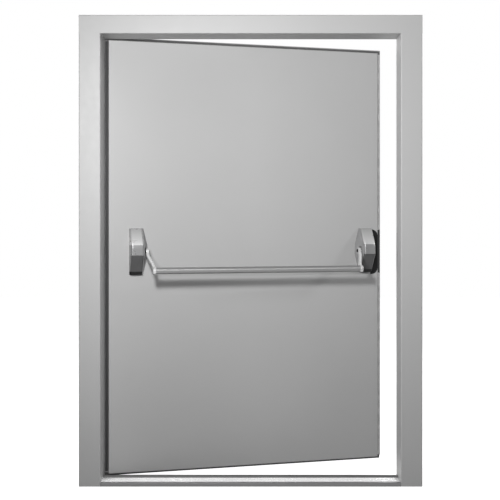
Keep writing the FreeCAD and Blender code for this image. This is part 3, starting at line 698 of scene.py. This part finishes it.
def barrel(foot, way):
    """A hinge barrel: a wall with rounded rims round its bore, and a domed plug in its upper or lower end.

    The dome is a quarter ellipse of the bore's radius and a small rise, turned about the pin. It points up
    where way is 1, and down where it is -1."""
    rim, rise, plug_length, sides = 0.0016, 0.0016, 0.003, 64
    wall = rounded_line(
        [(BARREL_BORE, 0), (BARREL_RADIUS, 0), (BARREL_RADIUS, BARREL_LENGTH), (BARREL_BORE, BARREL_LENGTH)],
        (rim, rim), steps=6)
    turn = np.linspace(0, np.pi / 2, QUARTER_STEPS)
    end = BARREL_LENGTH if way > 0 else 0.0
    dome = np.stack([BARREL_BORE * np.sin(turn), end + way * rise * np.cos(turn)], axis=-1)
    plug = np.concatenate([dome, [(BARREL_BORE, end - way * plug_length), (0, end - way * plug_length)]])
    centre = (HINGE_AXIS[0], HINGE_AXIS[1], foot)
    closed = np.concatenate([wall, wall[:1]])
    return [revolved(part, centre, UPWARD, EAST, sides) for part in (closed, plug)]


def frame_hinge_points(across, deep, height):
    """World points about the hinge axis with the frame's directions."""
    spots = np.broadcast_arrays(HINGE_AXIS[0] + across, HINGE_AXIS[1] + deep, height)
    return np.stack(spots, axis=-1)


def leaf_hinge_points(across, deep, height):
    """World points about the hinge axis with the leaf's directions: deep along it, across through it."""
    return leaf_points(deep - EDGE_FROM_AXIS, -across - FACE_FROM_AXIS, height)


def lug(points, near, far, low, high):
    """A welded lug from near to far: its half width draws in as a quarter circle at its foot and head."""
    height = rounded_rows(low, high, LUG_ROUND, count=7)
    half = LUG_HALF - quarter_inset(height - low, LUG_ROUND) - quarter_inset(high - height, LUG_ROUND)
    across = np.stack([-half, half, half, -half], axis=-1)
    return surface(points(across, np.array([near, near, far, far]), height[:, None]))


def bead(points, across, deep, low, high, radius):
    """A weld bead up a lug's corner: its radius swells as |sin| at every ripple and halves at both ends."""
    ripple, swell_share, end_share = 0.003, 0.14, 0.5
    rows, sides = 121, 14
    height = np.linspace(low, high, rows)[:, None]
    wave = np.abs(np.sin(np.pi * (height - low) / ripple))
    swell = radius * (1 - swell_share + swell_share * wave)
    swell[[0, -1]] *= end_share
    turn = np.linspace(0, 2 * np.pi, sides, endpoint=False)[None]
    ring = points(across + swell * np.cos(turn), deep + swell * np.sin(turn), height)
    return surface(ring)


class DOOR_OT_hinges(bpy.types.Operator):
    """Hinges: rounded barrels with domed plugs, lugs with weld beads, and a washer between the halves"""

    bl_idname = "door.hinges"
    bl_label = "Hinges"

    def execute(self, context):
        radius = context.scene.door_fittings.bead_radius
        bore, rim, thick, lift = 0.0062, 0.0105, 0.0009, 0.00005
        ring = [(bore, 0), (rim, 0), (rim, thick), (bore, thick), (bore, 0)]
        weld = FRAME_BACK - HINGE_AXIS[1]
        washers = []
        for name, foot in HINGE_FEET.items():
            head = foot + BARREL_LENGTH + BARREL_GAP
            halves = (("frame", frame_hinge_points, foot, -1, weld, -LUG_START, weld),
                      ("leaf", leaf_hinge_points, head, 1, LUG_START, FLANGE_FROM_AXIS, FLANGE_FROM_AXIS))
            for body, points, start, way, near, far, seam in halves:
                low, high = start + LUG_INSET, start + BARREL_LENGTH - LUG_INSET
                parts = barrel(start, way) + [lug(points, near, far, low, high)]
                parts += [bead(points, side * LUG_HALF, seam, low, high, radius) for side in (-1, 1)]
                replaced = [f"{name}_hinge_{body}_half"]
                new_piece(f"{name}_hinge_{body}_body", parts, body, "hinge_paint", replaced)
            centre = (HINGE_AXIS[0], HINGE_AXIS[1], foot + BARREL_LENGTH + lift)
            washers.append(revolved(ring, centre, UPWARD, EAST))
        new_piece("hinge_washers", washers, "frame", "pin_steel")
        return {"FINISHED"}


# Seals

SEAL_NEAR, SEAL_FAR = 0.003, 0.013
STRIP_THICK, STRIP_LIFT = 0.0016, 0.004


def half_ellipse(middle, base, half, rise):
    """Points of an upper half ellipse: (middle + half * cos t, base + rise * sin t).

    It runs back from its far end, or the other way where half is negative."""
    turn = np.linspace(0, np.pi, HALF_STEPS)
    return np.stack([middle + half * np.cos(turn), base + rise * np.sin(turn)], axis=-1)


def strip_section(near, far, steps):
    """Section of a flat strip from near to far with its two upper corners rounded."""
    radius = 0.0006
    corners = [(near, 0), (near, STRIP_THICK), (far, STRIP_THICK), (far, 0)]
    return rounded_line(corners, (radius, radius), steps)


def fin_section(back, front, taper, tip):
    """Section of a sweep's fin: it tapers from its root in the leaf's foot to a tip with rounded corners."""
    root, radius = 0.0265, 0.001
    corners = [(back, root), (back + taper, tip), (front - taper, tip), (front, root)]
    return rounded_line(corners, (radius, radius), steps=4)


def add_frame_seals():
    """A seal round the frame's back: a flat foot that carries a bulb."""
    foot = 0.0008
    bulb = half_ellipse(middle=(SEAL_NEAR + SEAL_FAR) / 2, base=foot, half=0.0036, rise=0.0022)
    seal = np.concatenate([[(SEAL_NEAR, foot), (SEAL_NEAR, 0), (SEAL_FAR, 0), (SEAL_FAR, foot)], bulb])
    for name, side in (("hinge_jamb_seal", -1), ("lock_jamb_seal", 1)):
        low = (side * HALF_OPENING, FRAME_BACK, LEAF_FOOT)
        high = (side * HALF_OPENING, FRAME_BACK, SOFFIT + SEAL_NEAR)
        part = swept(seal, low, high, EAST * side, NORTH)
        new_piece(f"{name}_bulb", [part], "frame", "seal_rubber", [name])
    reach = HALF_OPENING + SEAL_FAR
    part = swept(seal, (-reach, FRAME_BACK, SOFFIT), (reach, FRAME_BACK, SOFFIT), UPWARD, NORTH)
    new_piece("head_seal_bulb", [part], "frame", "seal_rubber", ["head_seal"])


def add_leaf_strips():
    """Flat strips on the flange behind the leaf's edges: pale lock-side strips of painted light, and a dark pad of
    painted shadow in line with the lock.
    """
    wide, hinge_share, head_share = 0.006, 2, 2.6
    pale_near, pale_far, past_edge = 0.0015, 0.026, 0.024
    strip = strip_section(0, wide, steps=5)
    foot = LEAF_FOOT + STRIP_LIFT
    low, high = leaf_points(0, FLANGE_OUT, foot), leaf_points(0, FLANGE_OUT, LEAF_TOP)
    part = swept(strip * (hinge_share, 1), low, high, -ALONG, OUTWARD)
    new_piece("hinge_flange_strip", [part], "leaf", "seal_rubber")
    start = leaf_points(-wide * hinge_share, FLANGE_OUT, LEAF_TOP)
    end = leaf_points(LEAF_WIDTH + past_edge, FLANGE_OUT, LEAF_TOP)
    part = swept(strip * (head_share, 1), start, end, UPWARD, OUTWARD)
    new_piece("head_flange_strip", [part], "leaf", "seal_rubber", finish="stop_grey")

    # Pale strips on the shaded lock-side flange are painted light; the dark pad beside the lock case is painted
    # shadow.
    pale = strip_section(pale_near, pale_far, steps=4)
    heights = (foot, LOCK_LOW, LOCK_HIGH, LEAF_TOP)
    ends = [leaf_points(LEAF_WIDTH, FLANGE_OUT, height) for height in heights]
    below, shadow_pad, above = [swept(pale, ends[n], ends[n + 1], ALONG, OUTWARD) for n in range(3)]
    new_piece("lock_side_strips", [below, above], "leaf", "seal_rubber", finish="painted_light_strip")
    new_piece("lock_shadow_pad", [shadow_pad], "leaf", "seal_rubber")


def add_sweep():
    """Two fins under the leaf: a short one near the push face, and a long one below the flange."""
    front_inset, back_start, back_past = 0.002, -0.03, 0.026
    fin = fin_section(back=-0.014, front=-0.007, taper=0.0015, tip=0.021)
    start, end = leaf_points(front_inset, 0.0, 0.0), leaf_points(LEAF_WIDTH - front_inset, 0.0, 0.0)
    front = swept(fin, start, end, OUTWARD, UPWARD)
    fin = fin_section(back=-0.049, front=-0.042, taper=0.002, tip=0.009)
    start, end = leaf_points(back_start, 0.0, 0.0), leaf_points(LEAF_WIDTH + back_past, 0.0, 0.0)
    back = swept(fin, start, end, OUTWARD, UPWARD)
    new_piece("sweep", [front, back], "leaf", "seal_rubber")


def add_threshold_stop():
    """The threshold's stop: a flat foot that carries a bulb."""
    back, front, foot = -0.006, -0.028, 0.0205
    bulb = half_ellipse(middle=(back + front) / 2, base=0.0202, half=-0.0085, rise=0.0080)
    flat = [(back, foot), (back, THRESHOLD_TOP), (front, THRESHOLD_TOP), (front, foot)]
    stop = np.concatenate([flat, bulb])
    part = swept(stop, (-HALF_OPENING, 0, 0), (HALF_OPENING, 0, 0), NORTH, UPWARD)
    new_piece("stop_bulb", [part], "frame", "seal_rubber", ["threshold_stop"], "stop_grey")


class DOOR_OT_seals(bpy.types.Operator):
    """Seals: a bulb round the frame, strips on the leaf's flange, the sweep and the threshold's stop"""

    bl_idname = "door.seals"
    bl_label = "Seals"

    def execute(self, context):
        add_frame_seals()
        add_leaf_strips()
        add_sweep()
        add_threshold_stop()
        return {"FINISHED"}


# Frame trim


def screw(centre, facing, across, radius):
    """A screw's flat head: circles up its rim, then a hexagon down to the floor of its socket.

    The hexagon's radius at an angle t from the middle of a side is its half width over cos t."""
    socket, bevel, heights, sides = 0.5, 0.92, np.array([0, 0.1, 0.17, 0.17, 0.03]), 48
    turn = np.linspace(0, 2 * np.pi, sides, endpoint=False)
    circle = np.full_like(turn, radius)
    hexagon = socket * radius / np.cos((turn + np.pi / 6) % (np.pi / 3) - np.pi / 6)
    reach = np.stack([circle, circle, circle * bevel, hexagon, hexagon])
    rise = radius * heights
    ring = np.cos(turn)[:, None] * across + np.sin(turn)[:, None] * np.cross(facing, across)
    grid = np.asarray(centre) + np.asarray(facing) * rise[:, None, None] + ring[None] * reach[..., None]
    return surface(grid)


def add_corner_fills():
    """Fills the groove between head and jamb, where the head's bend runs past the jamb's face.

    The section is the corner square less a quarter circle of the bend's radius."""
    bend = 0.005
    turn = np.linspace(0, np.pi / 2, QUARTER_STEPS)
    hollow = np.stack([FRAME_FRONT + bend * (1 - np.cos(turn)), SOFFIT + bend * (1 - np.sin(turn))], axis=-1)
    corner = np.concatenate([[(FRAME_FRONT, SOFFIT)], hollow[::-1]])
    near, far = HALF_OPENING + bend, HALF_OPENING + JAMB_FACE - bend
    fills = [swept(corner, (side * near, 0, 0), (side * far, 0, 0), NORTH, UPWARD) for side in (-1, 1)]
    new_piece("corner_fills", fills, "frame", "frame_paint")


def add_tread():
    """The threshold's ribbed tread: its top rises as sin^2, one wave a rib; its near-white finish is a painted
    highlight.
    """
    ribs, pitch, rib_steps = 11, 0.006, 12
    back, base, rise, clear = -0.0305, 0.0010, 0.0022, 0.001
    spot = np.linspace(0, 1, ribs * rib_steps + 1)
    wave = np.sin(np.pi * ribs * spot) ** 2
    front = back - ribs * pitch
    ridge = np.stack([back - ribs * pitch * spot, THRESHOLD_TOP + base + rise * wave], axis=-1)
    tread = np.concatenate([ridge, [(front, THRESHOLD_TOP), (back, THRESHOLD_TOP)]])
    end = HALF_OPENING - clear
    part = swept(tread, (-end, 0, 0), (end, 0, 0), NORTH, UPWARD)
    new_piece("tread", [part], "frame", "threshold_metal", finish="tread")


def add_screws(radius):
    """Screws of threshold and strike on the frame, and of forend and cases on the leaf."""
    row, row_y, strike_y, strike_half = (-0.6, -0.2, 0.2, 0.6), -0.103, 0.018, 0.068
    forend_out, forend_half, case_out, case_height = -0.018, 0.1, 0.016, 1.088
    screws = [screw((x, row_y, THRESHOLD_TOP), UPWARD, EAST, radius) for x in row]
    for way in (-1, 1):
        spot = (HALF_OPENING, strike_y, PIVOT_HEIGHT + way * strike_half)
        screws.append(screw(spot, -EAST, UPWARD, radius))
    new_piece("frame_screws", screws, "frame", "stainless")
    screws = []
    for way in (-1, 1):
        spot = leaf_points(LEAF_WIDTH, forend_out, PIVOT_HEIGHT + way * forend_half)
        screws.append(screw(spot, ALONG, UPWARD, radius))
    for side, outer in CASE_OUTER.items():
        spot = leaf_points(outer, case_out, case_height)
        screws.append(screw(spot, -ALONG * INWARD[side], UPWARD, radius))
    new_piece("leaf_screws", screws, "leaf", "stainless")


class DOOR_OT_frame_trim(bpy.types.Operator):
    """Trim: filled corners, the ribbed tread and the screws of threshold, strike, forend and cases"""

    bl_idname = "door.frame_trim"
    bl_label = "Frame trim"

    def execute(self, context):
        add_corner_fills()
        add_tread()
        add_screws(context.scene.door_fittings.screw_radius)
        return {"FINISHED"}


# Stage


def lamp(name, size, power, spot, aim):
    """A square area lamp at the spot, pointing at the aim, that the camera doesn't see."""
    data = bpy.data.lights.new(name, "AREA")
    data.energy = power
    data.size = size
    thing = bpy.data.objects.new(name, data)
    thing.location = spot
    thing.rotation_euler = (Vector(aim) - Vector(spot)).to_track_quat("-Z", "Y").to_euler()
    thing.visible_camera = False
    bpy.context.scene.collection.objects.link(thing)


def white_where_seen(tree, lit, white):
    """Mixes in white for rays from the camera, off gloss and through glass."""
    path = add(tree, "LightPath")
    seen = path.outputs["Is Camera Ray"]
    for name in ("Is Glossy Ray", "Is Transmission Ray"):
        most = add(tree, "Math", operation="MAXIMUM")
        tree.links.new(seen, most.inputs[0])
        tree.links.new(path.outputs[name], most.inputs[1])
        seen = most.outputs[0]
    mix = add(tree, "MixShader")
    tree.links.new(seen, mix.inputs[0])
    tree.links.new(lit, mix.inputs[1])
    tree.links.new(white, mix.inputs[2])
    return mix.outputs[0]


def studio_world(front, back):
    """A world that looks white, and lights the push side at the front level, the pull side at the back's."""
    front_end, back_end = -0.3, 0.7
    world = bpy.data.worlds.new("studio")
    world.use_nodes = True
    tree = world.node_tree
    lit = tree.nodes["Background"]
    lit.inputs["Color"].default_value = (1, 1, 1, 1)
    direction = add(tree, "TexCoord")
    parts = add(tree, "SeparateXYZ")
    tree.links.new(direction.outputs["Generated"], parts.inputs[0])
    level = ranged(tree, parts.outputs["Y"], front, back, front_end, back_end)
    tree.links.new(level, lit.inputs["Strength"])
    white = add(tree, "Background", {"Color": (1, 1, 1, 1), "Strength": 1.0})
    mixed = white_where_seen(tree, lit.outputs[0], white.outputs[0])
    tree.links.new(mixed, tree.nodes["World Output"].inputs["Surface"])
    return world


def white_floor():
    """A floor that looks nearly white, keeps a faint shadow and throws back part of the light."""
    reach, glow_level, thrown_back, shadow_share = 12.0, 0.96, 0.3, 0.6
    corners = [(-reach, -reach, 0), (reach, -reach, 0), (reach, reach, 0), (-reach, reach, 0)]
    mesh = bpy.data.meshes.new("floor")
    mesh.from_pydata(corners, [], [(0, 1, 2, 3)])
    floor = bpy.data.objects.new("floor", mesh)
    bpy.context.scene.collection.objects.link(floor)
    material = bpy.data.materials.new("floor_white")
    material.use_nodes = True
    tree = material.node_tree
    tree.nodes.remove(tree.nodes["Principled BSDF"])
    matt = add(tree, "BsdfDiffuse", {"Color": (*grey(thrown_back), 1)})
    glow = add(tree, "Emission", {"Color": (1, 1, 1, 1), "Strength": glow_level})
    faint = add(tree, "BsdfDiffuse", {"Color": (*grey(shadow_share), 1)})
    both = add(tree, "AddShader")
    tree.links.new(glow.outputs[0], both.inputs[0])
    tree.links.new(faint.outputs[0], both.inputs[1])
    mixed = white_where_seen(tree, matt.outputs[0], both.outputs[0])
    tree.links.new(mixed, tree.nodes["Material Output"].inputs["Surface"])
    mesh.materials.append(material)


def photo_camera(settings):
    """A level camera square to the frame, shifted to the photograph's framing."""
    data = bpy.data.cameras.new("camera")
    data.lens = settings.camera_lens
    data.sensor_width = 36
    data.shift_x, data.shift_y = settings.camera_shift
    camera = bpy.data.objects.new("camera", data)
    camera.location = (0, CAD_BOX[0][1] - settings.camera_distance, settings.camera_height)
    camera.rotation_euler = (math.pi / 2, 0, 0)
    bpy.context.scene.collection.objects.link(camera)
    return camera


class DOOR_OT_stage(bpy.types.Operator):
    """White studio: even light, floor, lamps at the left, at the right and behind, and the camera"""

    bl_idname = "door.stage"
    bl_label = "Stage"

    def execute(self, context):
        scene = context.scene
        settings = scene.door_stage
        scene.view_settings.view_transform = "Standard"
        scene.world = studio_world(settings.front_sky, settings.back_sky)
        white_floor()
        lamp("key_lamp", size=0.3, power=settings.key_power,
             spot=(-0.495, -1.69, 1.871), aim=(0.086, -0.876, 0.978))
        lamp("far_lamp", size=0.5, power=settings.far_power,
             spot=(-1.435, -7.468, 2.07), aim=(-0.839, -6.665, 5.004))
        lamp("side_lamp", size=0.6, power=settings.side_power,
             spot=(4.3, -0.45, 2.8), aim=(-0.7, -0.1, 2.9))
        lamp("back_lamp", size=2.5, power=settings.back_power,
             spot=(1.2, 4.5, 3.2), aim=(0, 0, 1.0))
        scene.camera = photo_camera(settings)
        return {"FINISHED"}


STEPS = (DOOR_OT_coats, DOOR_OT_cases, DOOR_OT_push_bar, DOOR_OT_hinges, DOOR_OT_seals, DOOR_OT_frame_trim,
         DOOR_OT_stage)


class DOOR_PT_panel(bpy.types.Panel):
    """The door's steps in the sidebar"""

    bl_idname = "DOOR_PT_panel"
    bl_label = "Door"
    bl_space_type = "VIEW_3D"
    bl_region_type = "UI"
    bl_category = "Door"

    def draw(self, context):
        for step in STEPS:
            self.layout.operator(step.bl_idname)


CLASSES = (FinishSettings, FittingSettings, StageSettings, *STEPS, DOOR_PT_panel)
SETTINGS = {"door_finish": FinishSettings, "door_fittings": FittingSettings, "door_stage": StageSettings}


def register():
    """Registers the classes and hangs the settings on the scene."""
    for made in CLASSES:
        bpy.utils.register_class(made)
    for name, group in SETTINGS.items():
        setattr(bpy.types.Scene, name, PointerProperty(type=group))


def unregister():
    """Takes the settings and the classes away again."""
    for name in SETTINGS:
        delattr(bpy.types.Scene, name)
    for made in reversed(CLASSES):
        bpy.utils.unregister_class(made)


def main():
    register()
    for step in STEPS:
        group, name = step.bl_idname.split(".")
        getattr(getattr(bpy.ops, group), name)()


if __name__ == "__main__":
    main()
